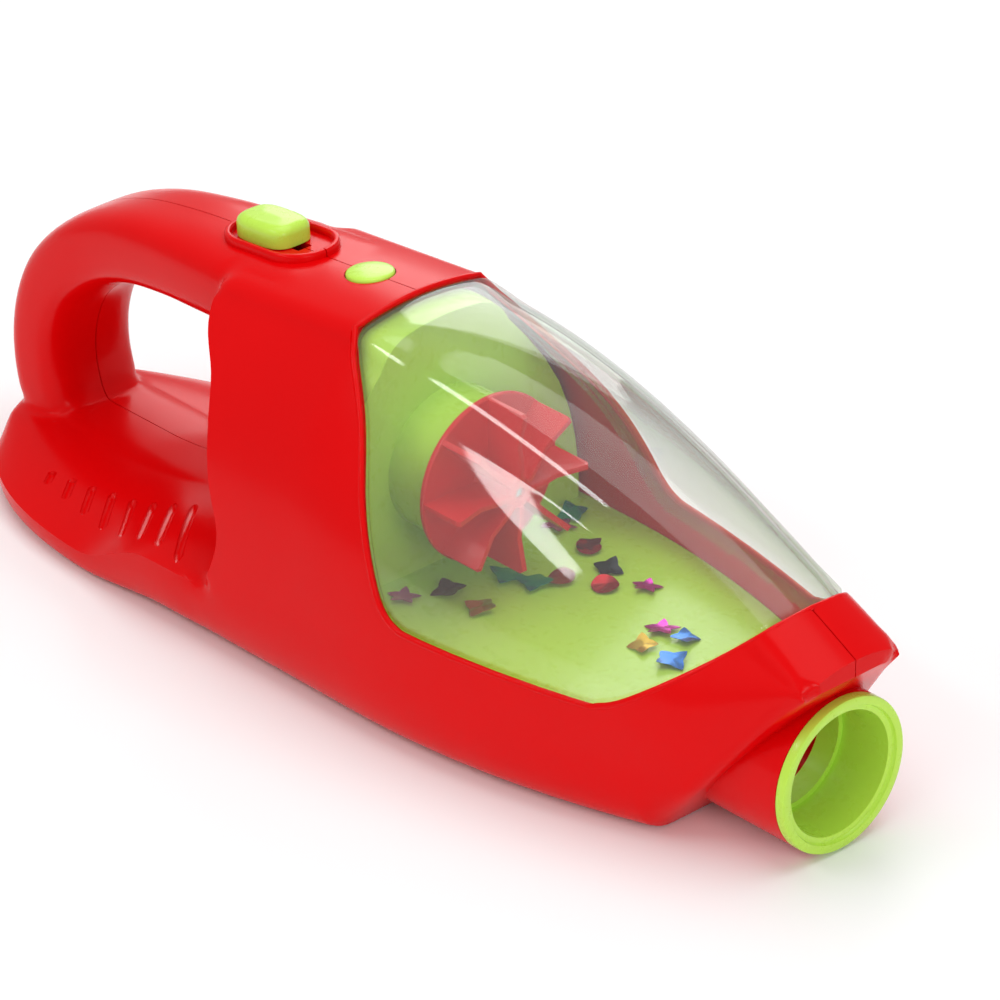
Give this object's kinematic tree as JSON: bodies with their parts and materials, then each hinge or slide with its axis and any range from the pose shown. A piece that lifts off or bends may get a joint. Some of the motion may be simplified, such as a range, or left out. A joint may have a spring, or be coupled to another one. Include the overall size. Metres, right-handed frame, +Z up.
{
  "type": "toy vacuum cleaner",
  "caption": "Red toy hand vacuum with loop handle, clear dome over a lime bulkhead and red fan, foil confetti, slide switch, round button and lime nozzle ring",
  "frame": {"origin": "on the flat underside, in the middle plane, below the back of the fan's disc", "axes": "+X forward through the nozzle, +Y to the left side, +Z up"},
  "size_m": [0.3253, 0.109, 0.1052],
  "materials": {
    "red_plastic": "glossy bright red moulded plastic",
    "lime_plastic": "glossy lime green moulded plastic",
    "clear_plastic": "clear moulded plastic",
    "fan_plastic": "red moulded plastic",
    "dark_plastic": "matt dark plastic",
    "steel": "plain steel",
    "cell_wrap": "plain cell wrapper",
    "red_sleeve": "red wire sleeve",
    "black_sleeve": "black wire sleeve",
    "foil": "shiny coloured foil"
  },
  "bodies": {
    "housing": {"left_shell": "red_plastic", "right_shell": "red_plastic", "clear_dome": "clear_plastic", "bulkhead": "lime_plastic", "bin_floor": "lime_plastic", "nozzle_ring": "lime_plastic", "motor_can": "steel", "motor_end_cap": "dark_plastic", "motor_retainer": "dark_plastic", "retainer_screws": "steel", "slide_switch": "dark_plastic", "button_spring": "steel", "button_switch": "dark_plastic", "battery_box": "dark_plastic", "battery_cells": "cell_wrap", "battery_contacts": "steel", "battery_door": "red_plastic", "door_screw": "steel", "body_screws": "steel", "red_wire": "red_sleeve", "black_wire": "black_sleeve", "confetti": "foil"},
    "fan": {"fan_impeller": "fan_plastic", "motor_shaft": "steel"},
    "slider": {"switch_knob": "lime_plastic", "switch_slider": "dark_plastic"},
    "button": {"round_button": "lime_plastic"}
  },
  "joints": [
    {"name": "fan_spin", "type": "hinge", "parent": "housing", "child": "fan", "pos_m": [0, 0, 0.057], "axis": [1, 0, 0], "continuous": true},
    {"name": "switch_slide", "type": "slide", "parent": "housing", "child": "slider", "axis": [0.9952, 0, 0.0975], "range_m": [0, 0.007]},
    {"name": "button_press", "type": "slide", "parent": "housing", "child": "button", "axis": [0.0975, 0, -0.9952], "range_m": [0, 0.0016], "stiffness_N_per_m": 300, "deforming": ["button_spring"]}
  ]
}
